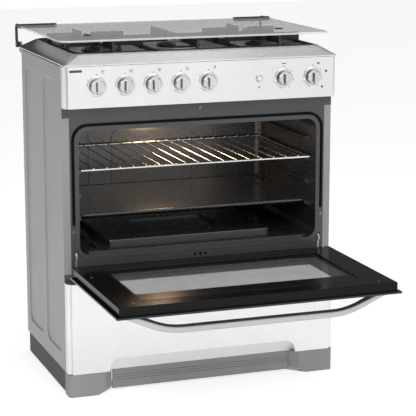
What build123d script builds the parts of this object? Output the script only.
"""Freestanding five-burner gas range with a glass lid, a tiled oven cavity and a drop-down oven door.

Millimetres. X runs to the viewer's right, the front faces -Y, Z is up. The origin is on the floor, at
the centre of the rest pose's box: oven door open and level, glass lid closed.
"""

import os

from build123d import *

os.makedirs("parts", exist_ok=True)

# ---------------------------------------------------------------- driving dimensions
WIDTH = 762.0  # over the side panels
HALF = WIDTH / 2
FACADE_Y = -57.5  # front face of the control panel and lower panel
SHEET = 0.8  # folded steel sheet

# Depths are measured rearwards from the facade, heights from the floor.
SIDE_DEPTH = 34.0  # front of the side panels
BACK_DEPTH = 464.0  # back of the side panels
PLINTH_TOP = 63.0
BODY_TOP = 883.0
LOWER_PANEL_TOP = 310.0
PANEL_BOTTOM = 776.0
PANEL_TOP = 884.5
CORNER_R = 10.0  # vertical bends of the front panels

FRAME_DEPTH = 32.8  # face of the oven front frame
MOUTH_HALF = 337.5  # oven mouth
MOUTH_BOTTOM, MOUTH_TOP = 380.5, 712.7
MOUTH_R = 28.0
LIP = 12.0
OVEN_BACK = 445.0
RUN_TOPS = (475.7, 537.0, 600.7, 657.0)  # tops of the four shelf runs
RUN_TIP = 321.5

RIM_TOP = 913.0  # cooktop
RIM_HALF = 345.0
RIM_FRONT, RIM_BACK = 38.0, 462.0
COOKTOP_BACK = 500.0
BASIN_FLOOR = 884.0

BURNER_X = 234.0
FRONT_BURNER, MID_BURNER, REAR_BURNER = 160.0, 212.0, 345.0
GRATE_TOP = 938.0

LID_BOTTOM, LID_TOP = 943.0, 948.0
LID_FRONT, LID_HALF = 39.0, 379.0
LID_PIVOT = (535.0, 890.0)  # depth, height
ARM_BACK = 550.0  # rearmost face of the lid arms

KNOB_Z = 832.0
KNOB_PITCH = 76.5
KNOB_X = [-294.5 + KNOB_PITCH * step for step in range(5)] + [226.6, 310.7]
TIMER_KNOB, OVEN_KNOB = 5, 6  # places of these two in the row of knobs
BUTTON_X = 155.7
RAIL_DEPTH = 70.0
RAIL_R = 8.0
PUSH_GAP = 5.5

DOOR_PIVOT = (2.0, 333.5)  # depth, height
DOOR_BOTTOM, DOOR_TOP = 329.5, 358.0  # outer face and inner face while open
GLASS = 5.0
DOOR_LENGTH = 435.0
HINGE_X = 348.0
HINGE_PLATE = 5.0
HANDLE_DEPTH, HANDLE_Z = -400.0, 285.0

INLET_X = 350.0
INLET_R = 10.48  # half-inch gas thread


def at(x, depth, z):
    """A point from its offset, its depth behind the facade and its height."""
    return (x, FACADE_Y + depth, z)


def front_plane(depth, z=0.0, x=0.0):
    """A vertical sketch plane facing the viewer: local X to the right, local Y up."""
    return Plane(origin=at(x, depth, z), x_dir=(1, 0, 0), z_dir=(0, -1, 0))


def floor_plane(z):
    """A level sketch plane whose local Y is the depth behind the facade."""
    return Plane(origin=(0, FACADE_Y, z), x_dir=(1, 0, 0), z_dir=(0, 0, 1))


def side_plane(x):
    """A vertical plane across X: local X is the depth behind the facade, local Y the height."""
    return Plane(origin=(x, FACADE_Y, 0), x_dir=(0, 1, 0), z_dir=(1, 0, 0))


def save(name, solid):
    """Label a finished piece and write its file."""
    solid.label = name
    export_step(solid, f"parts/{name}.step")


def slab(x0, x1, d0, d1, z0, z1):
    """A rectangular block between two offsets, two depths and two heights, added to the open part."""
    with Locations(at((x0 + x1) / 2, (d0 + d1) / 2, (z0 + z1) / 2)):
        return Box(x1 - x0, d1 - d0, z1 - z0)


def cut_slab(x0, x1, d0, d1, z0, z1):
    """The same block taken out of the open part."""
    with Locations(at((x0 + x1) / 2, (d0 + d1) / 2, (z0 + z1) / 2)):
        return Box(x1 - x0, d1 - d0, z1 - z0, mode=Mode.SUBTRACT)


def rod(start, end, radius, mode=Mode.ADD):
    """A round bar between two points, added to the open part."""
    run = Vector(*end) - Vector(*start)
    with BuildSketch(Plane(origin=start, z_dir=run)) as disc:
        Circle(radius)
    extrude(disc.sketch, amount=run.length, mode=mode)


# ---------------------------------------------------------------- cabinet sides, back and base
PRESSING_LOW, PRESSING_HIGH = 104.0, 843.0
PRESSING_DEPTH = 3.0
PRESSINGS = ((68.0, 231.0), (267.0, 431.0))  # front and rear pressed panels, in depth


def pressing(x_outer, x_inner, d0, d1, grow, mode):
    """A shallow tray with sloping walls, narrowing from one X to another."""
    sections = []
    for x, inset in ((x_outer, -grow), (x_inner, 2 * PRESSING_DEPTH - grow)):
        with BuildSketch(side_plane(x)) as section:
            with Locations(((d0 + d1) / 2, (PRESSING_LOW + PRESSING_HIGH) / 2)):
                RectangleRounded(d1 - d0 - 2 * inset, PRESSING_HIGH - PRESSING_LOW - 2 * inset, 30 - inset)
        sections.append(section.sketch.face())
    loft(sections, mode=mode)


def make_side_panel(name, sign):
    """A folded side panel with two pressed stiffening panels."""
    flange = 20.0
    edges = sorted((sign * HALF, sign * (HALF - SHEET)))
    fold = sorted((sign * HALF, sign * (HALF - flange)))
    with BuildPart() as panel:
        slab(*edges, SIDE_DEPTH, BACK_DEPTH, PLINTH_TOP, BODY_TOP)
        slab(*fold, SIDE_DEPTH, SIDE_DEPTH + SHEET, PLINTH_TOP, BODY_TOP)
        slab(*fold, BACK_DEPTH - SHEET, BACK_DEPTH, PLINTH_TOP, BODY_TOP)
        for d0, d1 in PRESSINGS:
            inner = sign * (HALF - SHEET)
            pressing(inner, inner - sign * PRESSING_DEPTH, d0, d1, SHEET, Mode.ADD)
        for d0, d1 in PRESSINGS:
            pressing(sign * HALF, sign * (HALF - PRESSING_DEPTH), d0, d1, 0.0, Mode.SUBTRACT)
    save(name, panel.part)


make_side_panel("side_panel_left", -1)
make_side_panel("side_panel_right", 1)

with BuildPart() as back_panel:
    slab(-374, 374, BACK_DEPTH, BACK_DEPTH + SHEET, 68, 872)
    with BuildSketch(front_plane(BACK_DEPTH + SHEET + 1, 700)):
        with GridLocations(90, 22, 7, 4):
            SlotOverall(64, 7)
    extrude(amount=2 * SHEET + 2, both=True, mode=Mode.SUBTRACT)
    with BuildSketch(front_plane(BACK_DEPTH, KNOB_Z)):
        with Locations((INLET_X, 0)):
            Circle(INLET_R + 1.5)
        with Locations((-300, 120 - KNOB_Z)):
            Circle(9.5)
    extrude(amount=3, both=True, mode=Mode.SUBTRACT)
save("back_panel", back_panel.part)

with BuildPart() as base_pan:
    slab(-380, 380, 22, BACK_DEPTH, PLINTH_TOP - 1.5, PLINTH_TOP)
    for side in (-1, 1):
        slab(*sorted((side * 275, side * 370)), 1.5, 22, PLINTH_TOP - 1.5, PLINTH_TOP)
    slab(-355, 355, 60, 61.5, PLINTH_TOP, PLINTH_TOP + 24)
    slab(-355, 355, 440, 441.5, PLINTH_TOP, PLINTH_TOP + 24)
    with BuildSketch(floor_plane(PLINTH_TOP)):
        with Locations((0, 250)):
            with GridLocations(110, 90, 5, 3):
                SlotOverall(60, 12)
    extrude(amount=4, both=True, mode=Mode.SUBTRACT)
save("base_pan", base_pan.part)

# ---------------------------------------------------------------- plinth
LEG_INNER = 258.0
LEG_SLOPE = 24.0


def leg_block(sign):
    """A hollow moulded corner block whose inner side curves back to the kick plate."""
    with BuildSketch(floor_plane(0)) as outline:
        with BuildLine():
            Polyline(
                (sign * LEG_INNER, 44),
                (sign * LEG_INNER, LEG_SLOPE),
                (sign * (LEG_INNER + LEG_SLOPE), 0),
                (sign * (HALF - CORNER_R), 0),
            )
            RadiusArc((sign * (HALF - CORNER_R), 0), (sign * HALF, CORNER_R), -sign * CORNER_R)
            Polyline((sign * HALF, CORNER_R), (sign * HALF, 44), (sign * LEG_INNER, 44))
        make_face()
    extrude(outline.sketch, amount=PLINTH_TOP - 1.5)


with BuildPart() as leg_blocks:
    leg_block(-1)
    leg_block(1)
    inner_toes = (
        leg_blocks.edges()
        .filter_by(lambda edge: edge.center().Z < 0.1)
        .filter_by(lambda edge: abs(abs(edge.center().X) - LEG_INNER - LEG_SLOPE / 2) < 1)
    )
    chamfer(inner_toes, 14)
    for side in (-1, 1):
        hollow = sorted((side * (LEG_INNER + LEG_SLOPE + 4), side * (HALF - 3)))
        cut_slab(*hollow, 4, 50, 3, 58)
        with Locations(at(side * 335, 24, 0)):
            Cylinder(15, 8, align=(Align.CENTER, Align.CENTER, Align.MIN), mode=Mode.SUBTRACT)
            Cylinder(5.3, PLINTH_TOP, align=(Align.CENTER, Align.CENTER, Align.MIN), mode=Mode.SUBTRACT)
save("leg_blocks", leg_blocks.part)

with BuildPart() as levelling_feet:
    for foot_x in (-335, 335):
        for foot_depth in (24, 430):
            with Locations(at(foot_x, foot_depth, 0)):
                Cylinder(14, 8, align=(Align.CENTER, Align.CENTER, Align.MIN))
            with Locations(at(foot_x, foot_depth, 8)):
                Cylinder(5, PLINTH_TOP - 9.5, align=(Align.CENTER, Align.CENTER, Align.MIN))
    chamfer(levelling_feet.edges().filter_by(GeomType.CIRCLE).group_by(Axis.Z)[0], 1)
save("levelling_feet", levelling_feet.part)

with BuildPart() as kick_plate:
    with BuildSketch(side_plane(-256)):
        with BuildLine():
            Polyline((24.5, 61.5), (24.5, 28), (30, 28), (30, 8), (22, 8))
            Polyline((22, 8), (22, 30), (23.2, 31), (22, 32), (22, 37))
            Polyline((22, 37), (23.2, 38), (22, 39), (22, 44), (23.2, 45), (22, 46), (22, 61.5), (24.5, 61.5))
        make_face()
    extrude(amount=512)
save("kick_plate", kick_plate.part)

with BuildPart() as side_skirts:
    for side in (-1, 1):
        slab(*sorted((side * 376.5, side * 374.5)), 44.5, 462, 1, PLINTH_TOP - 1.5)
        slab(*sorted((side * 376.5, side * 362)), 460, 462, 1, PLINTH_TOP - 1.5)
save("side_skirts", side_skirts.part)


# ---------------------------------------------------------------- lower panel and control panel
def folded_front(z0, z1, floor_skin, roof_skin):
    """A shallow sheet box with rounded vertical corners, open at the back."""
    depth = SIDE_DEPTH - 1.4
    shell_and_core = ((0, z0, z1, Mode.ADD), (SHEET, z0 + floor_skin, z1 - roof_skin, Mode.SUBTRACT))
    for grow, low, high, mode in shell_and_core:
        half = HALF - grow
        radius = CORNER_R - grow
        with BuildSketch(floor_plane(low)) as outline:
            with BuildLine():
                Line((-half, depth + grow), (-half, CORNER_R))
                RadiusArc((-half, CORNER_R), (-half + radius, grow), radius)
                Line((-half + radius, grow), (half - radius, grow))
                RadiusArc((half - radius, grow), (half, CORNER_R), radius)
                Polyline((half, CORNER_R), (half, depth + grow), (-half, depth + grow))
            make_face()
        extrude(outline.sketch, amount=high - low, mode=mode)


ARCH_HALF, ARCH_TOP, ARCH_DEPTH = 268.0, 98.0, 20.0


def arch_wedge(grow, proud):
    """The scooped arch at the foot of the lower panel, running in to the kick plate."""
    half = ARCH_HALF + grow
    top = ARCH_TOP + grow
    low = PLINTH_TOP - 1
    with BuildSketch(front_plane(30)) as arch:
        with BuildLine():
            Line((-half, low), (-half, top - 30))
            RadiusArc((-half, top - 30), (-half + 30, top), 30)
            Line((-half + 30, top), (half - 30, top))
            RadiusArc((half - 30, top), (half, top - 30), 30)
            Polyline((half, top - 30), (half, low), (-half, low))
        make_face()
    extrude(arch.sketch, amount=30 + proud)
    slope = Plane(origin=at(0, grow, ARCH_TOP), x_dir=(1, 0, 0), z_dir=(0, ARCH_TOP - PLINTH_TOP, ARCH_DEPTH))
    split(bisect_by=slope, keep=Keep.BOTTOM)


with BuildPart() as arch_backing:
    arch_wedge(SHEET, 0)
with BuildPart() as arch_scoop:
    arch_wedge(0, 1)

with BuildPart() as lower_panel:
    folded_front(PLINTH_TOP, LOWER_PANEL_TOP, 0, SHEET)
    add(arch_backing.part)
    add(arch_scoop.part, mode=Mode.SUBTRACT)
    cut_slab(-HALF, HALF, -5, 40, 40, PLINTH_TOP)
save("lower_panel", lower_panel.part)

with BuildPart() as control_panel:
    folded_front(PANEL_BOTTOM, PANEL_TOP, SHEET, 0)
    with BuildSketch(front_plane(4, KNOB_Z)):
        with Locations([(x, 0) for x in KNOB_X]):
            Circle(5)
        with Locations((BUTTON_X, 2)):
            Circle(7.3)
        with Locations((350, 14)):
            Circle(3.2)
    extrude(amount=6, mode=Mode.SUBTRACT)
save("control_panel", control_panel.part)

with BuildPart() as knob_bezels:
    with BuildSketch(front_plane(0, KNOB_Z)):
        with Locations([(x, 0) for x in KNOB_X]):
            Circle(26.5)
            Circle(21, mode=Mode.SUBTRACT)
        with Locations((BUTTON_X, 2)):
            Circle(10.5)
            Circle(7.6, mode=Mode.SUBTRACT)
    extrude(amount=2.6)
    proud_rims = knob_bezels.faces().filter_by(Axis.Y).group_by(Axis.Y)[0].edges()
    chamfer(proud_rims, 1.0)
save("knob_bezels", knob_bezels.part)

with BuildPart() as indicator_lens:
    with BuildSketch(front_plane(4, KNOB_Z + 14)):
        with Locations((350, 0)):
            Circle(3.1)
    extrude(amount=4)
    with BuildSketch(front_plane(0, KNOB_Z + 14)):
        with Locations((350, 0)):
            Circle(3.75)
    extrude(amount=2)
    fillet(indicator_lens.edges().sort_by(Axis.Y)[0], 1.5)
save("indicator_lens", indicator_lens.part)

# ---------------------------------------------------------------- oven front frame and gasket
SLOT_HALF = 3.8
SLOT_LOW, SLOT_HIGH = 330.0, 392.0
GASKET_X, GASKET_TOP, GASKET_END, GASKET_R = 353.0, 728.0, 463.0, 40.0
FRAME_SCREWS = ((0, 759), (-353.6, 445), (353.6, 445))
MOUTH_Z = (MOUTH_BOTTOM + MOUTH_TOP) / 2


def mouth(grow):
    """The oven mouth's rounded rectangle, grown by an amount."""
    RectangleRounded(2 * (MOUTH_HALF + grow), MOUTH_TOP - MOUTH_BOTTOM + 2 * grow, MOUTH_R + grow)


with BuildPart() as front_frame:
    slab(-361, 361, FRAME_DEPTH, SIDE_DEPTH, LOWER_PANEL_TOP + 0.5, PANEL_BOTTOM - 0.5)
    slab(-HALF, HALF, FRAME_DEPTH, SIDE_DEPTH, 748, PANEL_BOTTOM - 0.5)
    slab(-HALF, HALF, FRAME_DEPTH, SIDE_DEPTH, LOWER_PANEL_TOP + 0.5, 331)
    for side in (-1, 1):
        slab(*sorted((side * 360.5, side * 359.3)), SIDE_DEPTH, SIDE_DEPTH + 14, 340, 745)
    with BuildSketch(front_plane(FRAME_DEPTH, MOUTH_Z)):
        mouth(LIP)
    extrude(amount=2.3)
    fillet(front_frame.faces().sort_by(Axis.Y)[0].edges(), 1.6)
    with BuildSketch(front_plane(SIDE_DEPTH + 1, MOUTH_Z)):
        mouth(0)
    extrude(amount=10, mode=Mode.SUBTRACT)
    with BuildSketch(front_plane(SIDE_DEPTH + 1)):
        with Locations((-HINGE_X, (SLOT_LOW + SLOT_HIGH) / 2), (HINGE_X, (SLOT_LOW + SLOT_HIGH) / 2)):
            Rectangle(2 * SLOT_HALF, SLOT_HIGH - SLOT_LOW)
        with Locations((0, 359)):
            with GridLocations(15, 1, 3, 1):
                Circle(4)
        with Locations((-82, 357), (82, 357)):
            with GridLocations(12, 1, 8, 1):
                Circle(1.4)
        with Locations(*FRAME_SCREWS):
            Circle(2.1)
    extrude(amount=3, mode=Mode.SUBTRACT)
save("front_frame", front_frame.part)

with BuildPart() as door_gasket:
    with BuildSketch(front_plane(FRAME_DEPTH)):
        for grow, mode in ((3.2, Mode.ADD), (-3.2, Mode.SUBTRACT)):
            height = GASKET_TOP - MOUTH_BOTTOM + grow
            with Locations((0, MOUTH_BOTTOM + height / 2)):
                RectangleRounded(2 * (GASKET_X + grow), height, GASKET_R + grow, mode=mode)
        with Locations((0, (GASKET_END + 300) / 2)):
            Rectangle(800, GASKET_END - 300, mode=Mode.SUBTRACT)
    extrude(amount=5.2)
    fillet(door_gasket.faces().sort_by(Axis.Y)[0].edges(), 2.0)
save("door_gasket", door_gasket.part)

with BuildPart() as frame_screws:
    for screw_x, screw_z in FRAME_SCREWS:
        with BuildSketch(front_plane(FRAME_DEPTH, screw_z, screw_x)):
            Circle(3.6)
        extrude(amount=1.8)
        with BuildSketch(front_plane(FRAME_DEPTH + 6, screw_z, screw_x)):
            Circle(2)
        extrude(amount=6)
    for screw_z in (90, 480, 780):
        for side in (-1, 1):
            with BuildSketch(front_plane(BACK_DEPTH + SHEET, screw_z, side * 368)):
                Circle(4.5)
            extrude(amount=-2.2)
save("frame_screws", frame_screws.part)

# ---------------------------------------------------------------- oven cavity
LINER = 1.0
LAMP_DEPTH = 350.0


def shelf_run(sign, top):
    """One pressed run along a side wall, with a level top for the rack to slide on."""
    wall = MOUTH_HALF + LINER / 2
    with BuildSketch(front_plane(425)) as profile:
        with BuildLine():
            Polyline(
                (sign * wall, top),
                (sign * (RUN_TIP + 2), top),
                (sign * RUN_TIP, top - 2),
                (sign * RUN_TIP, top - 6),
                (sign * (RUN_TIP + 5), top - 11),
                (sign * wall, top - 14),
                close=True,
            )
        make_face()
    extrude(profile.sketch, amount=355)


def cavity_block(grow, back, rear_radius):
    """A solid the shape of the oven cavity, rounded along its sides and round its back."""
    with BuildPart() as block:
        with BuildSketch(front_plane(SIDE_DEPTH, MOUTH_Z)):
            mouth(grow)
        extrude(amount=-(back - SIDE_DEPTH))
        fillet(block.faces().sort_by(Axis.Y)[-1].edges(), rear_radius)
    return block.part


with BuildPart() as oven_liner:
    add(cavity_block(LINER, OVEN_BACK + LINER, 21))
    add(cavity_block(0, OVEN_BACK, 20), mode=Mode.SUBTRACT)
    for run_top in RUN_TOPS:
        shelf_run(-1, run_top)
        shelf_run(1, run_top)
    with BuildSketch(front_plane(OVEN_BACK, 545)):
        RectangleRounded(252, 190, 20)
        RectangleRounded(240, 178, 14, mode=Mode.SUBTRACT)
        with Locations((-192, 0), (192, 0)):
            RectangleRounded(8, 250, 3.9)
    extrude(amount=2.5)
    with BuildSketch(floor_plane(MOUTH_TOP - 1)):
        with Locations((0, LAMP_DEPTH)):
            Circle(28)
    extrude(amount=LINER + 2, mode=Mode.SUBTRACT)
save("oven_liner", oven_liner.part)

with BuildPart() as oven_floor_plate:
    slab(-318, 318, 48, 430, 384, 385.5)
    slab(-308, 308, 48, 49.5, MOUTH_BOTTOM, 384)
    slab(-308, 308, 422, 423.5, MOUTH_BOTTOM, 384)
    slab(-240, 240, 110, 400, 385.5, 398)
    front_corners = oven_floor_plate.edges().filter_by(Axis.Z).filter_by_position(Axis.Z, 385, 399)
    fillet(front_corners, 18)
    fillet(oven_floor_plate.faces().sort_by(Axis.Z)[-1].edges(), 4)
    cut_slab(-237, 237, 114, 396, 380, 394)
    cut_slab(-232, 232, 118, 392, 380, 396.5)
    slab(-112, 112, 196, 345, 392.5, 397)
    cut_slab(-108, 108, 200, 341, 394, 400)
    with BuildSketch(floor_plane(380)):
        with Locations((-283, 235), (283, 235)):
            with GridLocations(1, 120, 1, 3):
                SlotOverall(70, 16, rotation=90)
    extrude(amount=8, mode=Mode.SUBTRACT)
save("oven_floor_plate", oven_floor_plate.part)

with BuildPart() as oven_lamp_lens:
    with BuildSketch(floor_plane(MOUTH_TOP)):
        with Locations((0, LAMP_DEPTH)):
            Circle(34)
    extrude(amount=-3.5)
    with BuildSketch(floor_plane(MOUTH_TOP)):
        with Locations((0, LAMP_DEPTH)):
            Circle(26)
    extrude(amount=-18)
    fillet(oven_lamp_lens.edges().sort_by(Axis.Z)[0], 12)
save("oven_lamp_lens", oven_lamp_lens.part)

with BuildPart() as insulation:
    for side in (-1, 1):
        slab(*sorted((side * 341, side * 364)), 52, 450, 398, 744)
    slab(-340, -40, 52, 450, 718, 744)
    slab(40, 340, 52, 450, 718, 744)
    slab(-338, 338, 449, 461, 385, 712)
save("insulation", insulation.part)

with BuildPart() as oven_burner:
    for burner_x in (-120, 120):
        rod(at(burner_x, 78, 356), at(burner_x, 405, 356), 11)
    rod(at(-120, 92, 356), at(120, 92, 356), 8)
    rod(at(-120, 388, 356), at(120, 388, 356), 8)
    for burner_x in (-120, 120):
        slab(burner_x - 8, burner_x + 8, 120, 126, 366, 378)
        slab(burner_x - 8, burner_x + 8, 360, 366, 366, 378)
save("oven_burner", oven_burner.part)

# ---------------------------------------------------------------- gas train and switches
PLUG_R = 7.0
SPINDLE_R = 3.9
FIT = 0.06
VALVE_FRONT, VALVE_BACK = 36.0, 60.0
GAS_KNOBS = [index for index in range(7) if index != TIMER_KNOB]

with BuildPart() as gas_rail:
    rod(at(-330, RAIL_DEPTH, KNOB_Z), at(INLET_X, RAIL_DEPTH, KNOB_Z), RAIL_R)
    with Locations(at(INLET_X, RAIL_DEPTH, KNOB_Z)):
        Sphere(RAIL_R)
    rod(at(INLET_X, RAIL_DEPTH, KNOB_Z), at(INLET_X, 472, KNOB_Z), RAIL_R)
    with BuildSketch(front_plane(468, KNOB_Z, INLET_X)):
        RegularPolygon(13.5, 6)
    extrude(amount=-7)
    with BuildSketch(front_plane(475, KNOB_Z, INLET_X)):
        Circle(INLET_R)
    extrude(amount=-15)
    with BuildSketch(front_plane(490, KNOB_Z, INLET_X)):
        Circle(6)
    extrude(amount=30, mode=Mode.SUBTRACT)
save("gas_rail", gas_rail.part)

with BuildPart() as gas_valves:
    for index in GAS_KNOBS:
        x = KNOB_X[index]
        slab(x - 13, x + 13, VALVE_FRONT + 3, VALVE_BACK + 1.5, KNOB_Z - 13, KNOB_Z + 13)
        with BuildSketch(front_plane(VALVE_FRONT + 3, KNOB_Z, x)):
            Circle(10)
        extrude(amount=3)
        slab(x - 9, x + 9, VALVE_BACK + 1.5, RAIL_DEPTH - RAIL_R + 1, KNOB_Z - 6, KNOB_Z + 6)
        rod(at(x, 50, KNOB_Z + 13), at(x, 50, KNOB_Z + 20), 5)
        with BuildSketch(front_plane(VALVE_FRONT - 1, KNOB_Z, x)):
            Circle(PLUG_R + FIT)
        extrude(amount=-(VALVE_BACK - VALVE_FRONT + 1), mode=Mode.SUBTRACT)
    rod(at(-345, RAIL_DEPTH, KNOB_Z), at(345, RAIL_DEPTH, KNOB_Z), RAIL_R + 0.02, mode=Mode.SUBTRACT)
save("gas_valves", gas_valves.part)

PIPE_R = 3.0
PIPE_Z = 866.0
BURNERS = (
    (-BURNER_X, REAR_BURNER, 47.0),
    (-BURNER_X, FRONT_BURNER, 60.0),
    (0.0, MID_BURNER, 66.0),
    (BURNER_X, REAR_BURNER, 47.0),
    (BURNER_X, FRONT_BURNER, 60.0),
)
STUB_R = 19.0


def pipe(*points):
    """A gas pipe bent through the points."""
    with BuildLine(mode=Mode.PRIVATE) as route:
        FilletPolyline(*points, radius=12)
    with BuildSketch(Plane(origin=route.line @ 0, z_dir=route.line % 0)) as bore:
        Circle(PIPE_R)
    sweep(bore.sketch, path=route.line)


with BuildPart() as gas_pipes:
    for index, (burner_x, depth, _) in enumerate(BURNERS):
        x = KNOB_X[index]
        run = Vector(burner_x - x, depth - 50, 0)
        stop = run.length - STUB_R - 0.3
        unit = run.normalized()
        pipe(
            at(x, 50, KNOB_Z + 20),
            at(x, 50, PIPE_Z),
            at(x + unit.X * stop, 50 + unit.Y * stop, PIPE_Z),
        )
    oven_x = KNOB_X[OVEN_KNOB]
    pipe(
        at(oven_x, 50, KNOB_Z - 13.2),
        at(oven_x, 50, 770),
        at(372, 62, 748),
        at(372, 62, 356),
        at(131.3, 84, 356),
    )
save("gas_pipes", gas_pipes.part)

with BuildPart() as switch_cases:
    timer_x = KNOB_X[TIMER_KNOB]
    slab(timer_x - 24, timer_x + 24, SHEET, 44, KNOB_Z - 22, KNOB_Z + 22)
    with BuildSketch(front_plane(SHEET, KNOB_Z, timer_x)):
        Circle(SPINDLE_R + FIT)
    extrude(amount=-31, mode=Mode.SUBTRACT)
    slab(BUTTON_X - 12, BUTTON_X + 12, SHEET, 34, KNOB_Z - 10, KNOB_Z + 14)
    with BuildSketch(front_plane(SHEET, KNOB_Z + 2, BUTTON_X)):
        Circle(7 + FIT)
    extrude(amount=-29, mode=Mode.SUBTRACT)
save("switch_cases", switch_cases.part)

# ---------------------------------------------------------------- cooktop
HOB_D = (RIM_FRONT + RIM_BACK) / 2
TOP_SHEET = 1.0
SPARK_BORE = 3.2


def spark_place(burner_x, depth, radius):
    """Where a burner's spark electrode stands, beside its skirt on the viewer's right."""
    return (burner_x + (radius + 6) * 0.8, depth - (radius + 6) * 0.6)


def hob_shell(grow, low, high):
    """The sloping rim's two outlines, the outer edge and the flat ring round the basin."""
    with BuildSketch(floor_plane(low)) as outer_edge:
        with Locations((0, COOKTOP_BACK / 2)):
            RectangleRounded(WIDTH - 2 * grow, COOKTOP_BACK - 2 * grow, 5)
    with BuildSketch(floor_plane(high)) as ring:
        with Locations((0, HOB_D)):
            RectangleRounded(2 * (RIM_HALF - grow), RIM_BACK - RIM_FRONT - 2 * grow, 22)
    return [outer_edge.sketch.face(), ring.sketch.face()]


with BuildPart() as cooktop:
    with BuildSketch(floor_plane(885.5)):
        with Locations((0, COOKTOP_BACK / 2)):
            RectangleRounded(WIDTH, COOKTOP_BACK, 5)
    extrude(amount=3)
    loft(hob_shell(0, 888.5, RIM_TOP))
    fillet(cooktop.faces().sort_by(Axis.Z)[-1].edges(), 4)
    with BuildSketch(floor_plane(884)):
        with Locations((0, COOKTOP_BACK / 2)):
            RectangleRounded(WIDTH - 2 * TOP_SHEET, COOKTOP_BACK - 2 * TOP_SHEET, 4)
    extrude(amount=4.5, mode=Mode.SUBTRACT)
    loft(hob_shell(TOP_SHEET, 888.5, RIM_TOP - TOP_SHEET), mode=Mode.SUBTRACT)
    with BuildSketch(floor_plane(BASIN_FLOOR - TOP_SHEET)):
        with Locations((0, HOB_D)):
            RectangleRounded(2 * RIM_HALF - 8, RIM_BACK - RIM_FRONT - 8, 20)
    extrude(amount=RIM_TOP - BASIN_FLOOR)
    with BuildSketch(floor_plane(BASIN_FLOOR)):
        with Locations((0, HOB_D)):
            RectangleRounded(2 * RIM_HALF - 10, RIM_BACK - RIM_FRONT - 10, 19)
    extrude(amount=60, mode=Mode.SUBTRACT)
    with BuildSketch(floor_plane(BASIN_FLOOR - 5)):
        for burner_x, depth, radius in BURNERS:
            with Locations((burner_x, depth)):
                Circle(STUB_R + 0.3)
            with Locations(spark_place(burner_x, depth, radius)):
                Circle(SPARK_BORE)
    extrude(amount=10, mode=Mode.SUBTRACT)
save("cooktop", cooktop.part)

with BuildPart() as burner_heads:
    for burner_x, depth, radius in BURNERS:
        with BuildSketch(Plane(origin=at(burner_x, depth, 0), x_dir=(1, 0, 0), z_dir=(0, -1, 0))):
            with BuildLine():
                Polyline(
                    (0, 858),
                    (STUB_R, 858),
                    (STUB_R, BASIN_FLOOR),
                    (radius - 4, BASIN_FLOOR),
                    (radius, 887),
                    (radius, 890),
                    (radius - 7, 892),
                    (radius - 9, 906),
                    (0, 906),
                    close=True,
                )
            make_face()
        revolve(axis=Axis(at(burner_x, depth, 0), (0, 0, 1)))
save("burner_heads", burner_heads.part)

with BuildPart() as burner_caps:
    for burner_x, depth, radius in BURNERS:
        with BuildSketch(floor_plane(906)):
            with Locations((burner_x, depth)):
                Circle(radius - 5)
        extrude(amount=6)
    fillet(burner_caps.faces().filter_by(Axis.Z).group_by(Axis.Z)[-1].edges(), 3)
save("burner_caps", burner_caps.part)

with BuildPart() as spark_plugs:
    for burner_x, depth, radius in BURNERS:
        plug_x, plug_depth = spark_place(burner_x, depth, radius)
        rod(at(plug_x, plug_depth, 872), at(plug_x, plug_depth, 897), 3.0)
        rod(at(plug_x, plug_depth, 896), at(plug_x, plug_depth, 903), 1.2)
save("spark_plugs", spark_plugs.part)

# ---------------------------------------------------------------- pan supports
BAR = 6.0
GRATE_HALF_GAP = 117.0
GRATE_EDGE = RIM_HALF - 9
GRATE_FRONT, GRATE_REAR = 48.0, 452.0
RING_LOW, RING_HIGH = 908.0, 915.0


def pan_support(x0, x1, burners):
    """A welded grate: a level frame on four feet, with raised fingers pointing at each burner."""
    with BuildSketch(floor_plane(RING_LOW)) as frame:
        with Locations(((x0 + x1) / 2, HOB_D)):
            wide, deep = x1 - x0, GRATE_REAR - GRATE_FRONT
            RectangleRounded(wide, deep, RING_R)
            RectangleRounded(wide - 2 * BAR, deep - 2 * BAR, RING_R - BAR, mode=Mode.SUBTRACT)
    extrude(frame.sketch, amount=RING_HIGH - RING_LOW)
    for foot_x in (x0 + RING_R, x1 - RING_R - BAR):
        for foot_depth in (GRATE_FRONT, GRATE_REAR - BAR):
            slab(foot_x, foot_x + BAR, foot_depth, foot_depth + BAR, BASIN_FLOOR, RING_LOW)
    for burner_x, depth, reach, front_end, rear_end in burners:
        across = (burner_x - BAR / 2, burner_x + BAR / 2)
        for root, tip, riser in ((front_end, depth - reach, RISER), (rear_end, depth + reach, -RISER)):
            slab(*across, *sorted((root, tip)), FINGER_LOW, GRATE_TOP)
            slab(*across, *sorted((root, root + riser)), RING_LOW, GRATE_TOP)
        along = (depth - BAR / 2, depth + BAR / 2)
        for root, tip, riser in ((x0, burner_x - reach, RISER), (x1, burner_x + reach, -RISER)):
            slab(*sorted((root, tip)), *along, FINGER_LOW, GRATE_TOP)
            slab(*sorted((root, root + riser)), *along, RING_LOW, GRATE_TOP)


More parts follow.
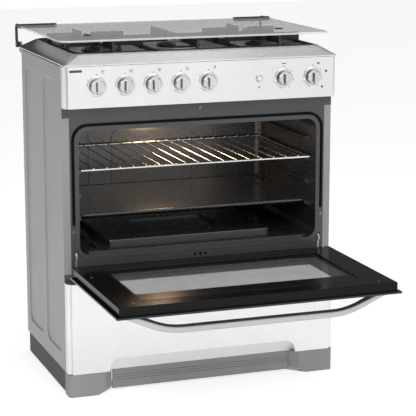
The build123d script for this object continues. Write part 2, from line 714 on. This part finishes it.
FINGER_REACH = 22.0
FINGER_LOW = 919.0
RISER = 12.0
RING_R = 16.0
SPLIT = 255.0  # depth of the bar between the front and rear burners
with BuildPart() as pan_supports:
    for low, high, burner_x in (
        (-GRATE_EDGE, -GRATE_HALF_GAP - 1, -BURNER_X),
        (GRATE_HALF_GAP + 1, GRATE_EDGE, BURNER_X),
    ):
        pair = (
            (burner_x, FRONT_BURNER, FINGER_REACH, GRATE_FRONT, SPLIT + BAR / 2),
            (burner_x, REAR_BURNER, FINGER_REACH, SPLIT - BAR / 2, GRATE_REAR),
        )
        pan_support(low, high, pair)
        slab(low, high, SPLIT - BAR / 2, SPLIT + BAR / 2, RING_LOW, RING_HIGH)
    centre = ((0, MID_BURNER, FINGER_REACH + 10, GRATE_FRONT, GRATE_REAR),)
    pan_support(-GRATE_HALF_GAP + 1, GRATE_HALF_GAP - 1, centre)
    top_edges = pan_supports.faces().filter_by(Axis.Z).group_by(Axis.Z)[-1].edges()
    chamfer(top_edges, 1.2)
save("pan_supports", pan_supports.part)

# ---------------------------------------------------------------- glass lid
with BuildPart() as lid_glass:
    slab(-LID_HALF, LID_HALF, LID_FRONT, COOKTOP_BACK, LID_BOTTOM, LID_TOP)
    fillet(lid_glass.edges().filter_by(Axis.Z).group_by(Axis.Y)[0], 26)
    chamfer(lid_glass.faces().sort_by(Axis.Z)[-1].edges(), 1)
save("lid_glass", lid_glass.part)

with BuildPart() as lid_clips:
    for side in (-1, 1):
        span = sorted((side * 272, side * 380))
        slab(*span, 484, 508, LID_BOTTOM - 3, LID_TOP + 3)
    fillet(lid_clips.edges().filter_by(Axis.X).group_by(Axis.Y)[-1], 2.8)
    cut_slab(-LID_HALF - 0.1, LID_HALF + 0.1, 400, COOKTOP_BACK, LID_BOTTOM, LID_TOP)
save("lid_clips", lid_clips.part)

BUMPER_X, BUMPER_DEPTH, BUMPER_R = 275.0, 156.0, 12.0
with BuildPart() as lid_bumpers:
    with BuildSketch(floor_plane(LID_TOP)):
        with Locations((-BUMPER_X, BUMPER_DEPTH), (BUMPER_X, BUMPER_DEPTH)):
            Circle(BUMPER_R)
    extrude(amount=2)
    chamfer(lid_bumpers.faces().filter_by(Axis.Z).group_by(Axis.Z)[-1].edges(), 1)
save("lid_bumpers", lid_bumpers.part)

ARM_X = 375.0
ARM_R = 4.0
LID_PIN_R = 3.5
with BuildPart() as lid_hinge_arms:
    for side in (-1, 1):
        with BuildLine(mode=Mode.PRIVATE) as bend:
            FilletPolyline(
                at(side * ARM_X, 508, 946),
                at(side * ARM_X, ARM_BACK - ARM_R, 946),
                at(side * ARM_X, ARM_BACK - ARM_R, 902),
                at(side * ARM_X, *LID_PIVOT),
                radius=11,
            )
        with BuildSketch(Plane(origin=bend.line @ 0, z_dir=bend.line % 0)):
            Circle(ARM_R)
        sweep(path=bend.line)
        with BuildSketch(side_plane(side * ARM_X - 5)):
            with Locations(LID_PIVOT):
                Circle(8)
        extrude(amount=10)
        with BuildSketch(side_plane(side * ARM_X - 12)):
            with Locations(LID_PIVOT):
                Circle(LID_PIN_R + FIT)
        extrude(amount=24, mode=Mode.SUBTRACT)
save("lid_hinge_arms", lid_hinge_arms.part)

with BuildPart() as lid_hinge_brackets:
    for side in (-1, 1):
        slab(*sorted((side * 352, side * 378)), BACK_DEPTH + SHEET, BACK_DEPTH + SHEET + 3, 848, 884.5)
        slab(*sorted((side * 364, side * 369)), BACK_DEPTH + SHEET + 3, 543, 868, 884.5)
        slab(*sorted((side * 364, side * 369)), 522, 543, 884.5, 898)
        rod(at(side * 367, *LID_PIVOT), at(side * 380.8, *LID_PIVOT), LID_PIN_R)
save("lid_hinge_brackets", lid_hinge_brackets.part)

# ---------------------------------------------------------------- oven door
EYE_R = 6.0
DOOR_PIN_R = 3.0
DOOR_INSET = 9.0
RAIL_DEPTH_IN = 9.0
GLASS_TOP = DOOR_BOTTOM + GLASS
TRIM_OUT = (300.0, -378.0, -38.0)  # half width, front and rear depth
TRIM_IN = (290.0, -308.0, -84.0)
DOOR_SCREWS = ((325.0, -402.0), (350.0, -122.0))  # offset and depth, on both sides

with BuildPart() as door_outer_glass:
    slab(-377, 377, -DOOR_LENGTH, -RAIL_DEPTH_IN, DOOR_BOTTOM, GLASS_TOP)
    fillet(door_outer_glass.edges().filter_by(Axis.Z).group_by(Axis.Y)[0], 3)
    chamfer(door_outer_glass.faces().sort_by(Axis.Z)[0].edges(), 0.8)
save("door_outer_glass", door_outer_glass.part)

LINER_HALF = 377 - DOOR_INSET
LINER_FRONT = -DOOR_LENGTH + DOOR_INSET


def trim_rectangle(size, radius=12.0, mode=Mode.ADD):
    """A rounded rectangle between two depths, for the window opening and its trim."""
    half, front, rear = size
    with Locations((0, (front + rear) / 2)):
        RectangleRounded(2 * half, rear - front, radius, mode=mode)


with BuildPart() as door_liner:
    slab(-LINER_HALF, LINER_HALF, LINER_FRONT, 0, GLASS_TOP, DOOR_TOP)
    slab(-LINER_HALF, LINER_HALF, -RAIL_DEPTH_IN, 0, DOOR_BOTTOM, GLASS_TOP)
    fillet(door_liner.edges().filter_by(Axis.X).group_by(Axis.Z)[-1].sort_by(Axis.Y)[0], 3)
    fillet(door_liner.edges().filter_by(Axis.Z).group_by(Axis.Y)[0], 3)
    cut_slab(-LINER_HALF + SHEET, LINER_HALF - SHEET, LINER_FRONT + SHEET, -15, GLASS_TOP, DOOR_TOP - SHEET)
    with BuildSketch(floor_plane(DOOR_TOP - 5)):
        trim_rectangle(TRIM_OUT)
    extrude(amount=10, mode=Mode.SUBTRACT)
    for side in (-1, 1):
        for inner, outer in ((337.5, 344.2), (351.8, 358.5)):
            ear = sorted((side * inner, side * outer))
            slab(*ear, -RAIL_DEPTH_IN, DOOR_PIVOT[0], DOOR_PIVOT[1] - EYE_R, DOOR_PIVOT[1] + EYE_R)
            with BuildSketch(side_plane(min(side * inner, side * outer))):
                with Locations(DOOR_PIVOT):
                    Circle(EYE_R)
            extrude(amount=outer - inner)
        cut_slab(*sorted((side * 344.2, side * 351.8)), -13.5, 12, 320, 370)
        with BuildSketch(side_plane(side * HINGE_X - 12)):
            with Locations(DOOR_PIVOT):
                Circle(DOOR_PIN_R)
        extrude(amount=24, mode=Mode.SUBTRACT)
    with BuildSketch(floor_plane(DOOR_TOP - 4)):
        with Locations(*[(side * x, depth) for side in (-1, 1) for x, depth in DOOR_SCREWS]):
            Circle(2.1)
    extrude(amount=6, mode=Mode.SUBTRACT)
save("door_liner", door_liner.part)

with BuildPart() as door_inner_glass:
    slab(-TRIM_IN[0] - 4, TRIM_IN[0] + 4, TRIM_IN[1] - 4, TRIM_IN[2] + 4, 348.5, 352.5)
    fillet(door_inner_glass.edges().filter_by(Axis.Z), 10)
save("door_inner_glass", door_inner_glass.part)

with BuildPart() as door_window_trim:
    seat = (TRIM_OUT[0] - 0.3, TRIM_OUT[1] + 0.3, TRIM_OUT[2] - 0.3)
    with BuildSketch(floor_plane(352.5)):
        trim_rectangle(seat)
        trim_rectangle(TRIM_IN, mode=Mode.SUBTRACT)
    extrude(amount=2.5)
    with BuildSketch(floor_plane(355)):
        trim_rectangle(seat)
        trim_rectangle((TRIM_OUT[0] - 4, TRIM_OUT[1] + 20, TRIM_OUT[2] - 20), 9, Mode.SUBTRACT)
    extrude(amount=3.4)
    chamfer(door_window_trim.faces().sort_by(Axis.Z)[-1].edges(), 1.2)
save("door_window_trim", door_window_trim.part)

HANDLE_STRAIGHT, HANDLE_FOOT = 238.0, 340.0
with BuildPart() as door_handle:
    rise = (DOOR_BOTTOM - HANDLE_Z) / (HANDLE_FOOT - HANDLE_STRAIGHT)
    beyond = 30.0
    with BuildLine(mode=Mode.PRIVATE) as grip_line:
        FilletPolyline(
            at(-HANDLE_FOOT - beyond, HANDLE_DEPTH, DOOR_BOTTOM + rise * beyond),
            at(-HANDLE_STRAIGHT, HANDLE_DEPTH, HANDLE_Z),
            at(HANDLE_STRAIGHT, HANDLE_DEPTH, HANDLE_Z),
            at(HANDLE_FOOT + beyond, HANDLE_DEPTH, DOOR_BOTTOM + rise * beyond),
            radius=190,
        )
    with BuildSketch(Plane(origin=grip_line.line @ 0, x_dir=(0, 1, 0), z_dir=grip_line.line % 0)):
        Ellipse(11.5, 10.5)
    sweep(path=grip_line.line)
    cut_slab(-420, 420, -440, -360, DOOR_BOTTOM, 400)
save("door_handle", door_handle.part)

with BuildPart() as door_screws:
    for screw_x, depth in [(side * x, depth) for side in (-1, 1) for x, depth in DOOR_SCREWS]:
        with BuildSketch(floor_plane(DOOR_TOP)):
            with Locations((screw_x, depth)):
                Circle(4)
        extrude(amount=1.8)
        with BuildSketch(floor_plane(DOOR_TOP - 6)):
            with Locations((screw_x, depth)):
                Circle(2)
        extrude(amount=6)
save("door_screws", door_screws.part)

with BuildPart() as door_hinge_arms:
    for side in (-1, 1):
        near, far = sorted((side * (HINGE_X - HINGE_PLATE / 2), side * (HINGE_X + HINGE_PLATE / 2)))
        with BuildSketch(side_plane(near)):
            with BuildLine():
                Polyline((DOOR_PIVOT[0], 327.6), (36, 332), (58, 332), (58, 372))
                Polyline((58, 372), (40, 372), (40, 388), (34, 388))
                Polyline((34, 388), (27.4, 382), (27.4, 372), (33, 368), (33, 346), (27.4, 342), (27.4, 335))
                Polyline((27.4, 335), (DOOR_PIVOT[0], 334.8), (DOOR_PIVOT[0], 327.6))
            make_face()
            with Locations(DOOR_PIVOT):
                Circle(EYE_R)
                Circle(DOOR_PIN_R + FIT, mode=Mode.SUBTRACT)
        extrude(amount=far - near)
save("door_hinge_arms", door_hinge_arms.part)

with BuildPart() as door_hinge_pins:
    for side in (-1, 1):
        start, stop = sorted((side * 336.2, side * 359.8))
        rod(at(start, *DOOR_PIVOT), at(stop, *DOOR_PIVOT), DOOR_PIN_R)
    chamfer(door_hinge_pins.edges().filter_by(GeomType.CIRCLE), 0.5)
save("door_hinge_pins", door_hinge_pins.part)

# ---------------------------------------------------------------- rack and tray
RACK_Z = 604.0
RACK_BAR = 3.0
RACK_WIRE = 1.6
RACK_HALF = 325.0
RACK_FRONT, RACK_MID, RACK_REAR = 50.0, 238.0, 434.0
RACK_PITCH = 36.5

with BuildPart() as oven_rack:
    for depth in (RACK_FRONT, RACK_MID, RACK_REAR):
        rod(at(-RACK_HALF, depth, RACK_Z), at(RACK_HALF, depth, RACK_Z), RACK_BAR)
    for side in (-1, 1):
        rod(at(side * RACK_HALF, RACK_FRONT, RACK_Z), at(side * RACK_HALF, RACK_REAR, RACK_Z), RACK_BAR)
    corners = [(side * RACK_HALF, depth) for side in (-1, 1) for depth in (RACK_FRONT, RACK_REAR)]
    with Locations(*[at(*corner, RACK_Z) for corner in corners]):
        Sphere(RACK_BAR)
    lift = RACK_BAR + RACK_WIRE - 0.6
    for step in range(-8, 9):
        x = step * RACK_PITCH
        rod(at(x, RACK_FRONT - 1, RACK_Z + lift), at(x, RACK_REAR + 1, RACK_Z + lift), RACK_WIRE)
save("oven_rack", oven_rack.part)

TRAY_Z = 476.0
TRAY_HALF = 326.0
TRAY_FRONT, TRAY_REAR = 78.0, 438.0
with BuildPart() as oven_tray:
    slab(-TRAY_HALF, TRAY_HALF, TRAY_FRONT, TRAY_REAR, TRAY_Z, TRAY_Z + SHEET)
    slab(-300, 300, 92, 424, TRAY_Z - 6, TRAY_Z)
    cut_slab(-298.8, 298.8, 93.2, 422.8, TRAY_Z - 4.8, TRAY_Z + 5)
    slab(-TRAY_HALF, TRAY_HALF, TRAY_REAR - SHEET, TRAY_REAR, TRAY_Z, TRAY_Z + 9)
    rod(at(-314, TRAY_FRONT, TRAY_Z + 1.5), at(314, TRAY_FRONT, TRAY_Z + 1.5), 4)
save("oven_tray", oven_tray.part)

# ---------------------------------------------------------------- knobs, plugs and button
KNOB_R = 18.5
KNOB_BACK, KNOB_FRONT = -PUSH_GAP, -17.0
GRIP_FRONT = -27.0


def make_valve_plug(name, x):
    """A valve's turning plug, bored for the knob's spindle."""
    with BuildPart() as plug:
        with BuildSketch(front_plane(VALVE_BACK - 0.5, KNOB_Z, x)):
            Circle(PLUG_R)
            Circle(SPINDLE_R + FIT, mode=Mode.SUBTRACT)
        extrude(amount=VALVE_BACK - 0.5 - VALVE_FRONT + 2)
    save(name, plug.part)


def make_knob(name, x, spindle_end):
    """A round knob with a grip blade across it and a moulded spindle behind."""
    with BuildPart() as knob:
        with BuildSketch(front_plane(KNOB_BACK, KNOB_Z, x)):
            Circle(KNOB_R)
        extrude(amount=KNOB_BACK - KNOB_FRONT)
        fillet(knob.faces().sort_by(Axis.Y)[0].edges(), 2.5)
        with BuildSketch(front_plane(KNOB_FRONT + 3, KNOB_Z, x)):
            SlotOverall(2 * KNOB_R - 1, 11, rotation=90)
        extrude(amount=KNOB_FRONT + 3 - GRIP_FRONT, taper=6)
        fillet(knob.faces().sort_by(Axis.Y)[0].edges(), 1.5)
        with BuildSketch(front_plane(spindle_end, KNOB_Z, x)):
            Circle(SPINDLE_R)
        extrude(amount=spindle_end - KNOB_BACK + 2)
    save(name, knob.part)


for index, knob_x in enumerate(KNOB_X):
    if index == TIMER_KNOB:
        make_knob(f"knob_{index + 1}", knob_x, 30)
    else:
        make_knob(f"knob_{index + 1}", knob_x, 52)
        make_valve_plug(f"valve_plug_{index + 1}", knob_x)

BUTTON_FRONT, BUTTON_BACK = -6.0, 14.0
with BuildPart() as push_button:
    with BuildSketch(front_plane(BUTTON_BACK, KNOB_Z + 2, BUTTON_X)):
        Circle(7)
    extrude(amount=BUTTON_BACK - BUTTON_FRONT)
    fillet(push_button.faces().sort_by(Axis.Y)[0].edges(), 1.5)
save("push_button", push_button.part)

SPRING_R, SPRING_WIRE, SPRING_PITCH = 5.0, 0.5, 2.2
with BuildPart() as button_spring:
    coil_length = 29.4 - BUTTON_BACK - 2 * SPRING_WIRE
    base = at(BUTTON_X, BUTTON_BACK + SPRING_WIRE + 0.1, KNOB_Z + 2)
    with BuildLine(mode=Mode.PRIVATE) as coil:
        Helix(SPRING_PITCH, coil_length, SPRING_R, center=base, direction=(0, 1, 0))
    with BuildSketch(Plane(origin=coil.line @ 0, z_dir=coil.line % 0)):
        Circle(SPRING_WIRE)
    sweep(path=coil.line, is_frenet=True)
save("button_spring", button_spring.part)

with BuildPart() as cord_gland:
    with BuildSketch(front_plane(BACK_DEPTH + SHEET, 120, -300)):
        Circle(14)
        Circle(4.5, mode=Mode.SUBTRACT)
    extrude(amount=-5)
    with BuildSketch(front_plane(BACK_DEPTH + SHEET, 120, -300)):
        Circle(9.2)
        Circle(4.5, mode=Mode.SUBTRACT)
    extrude(amount=SHEET + 6)
save("cord_gland", cord_gland.part)
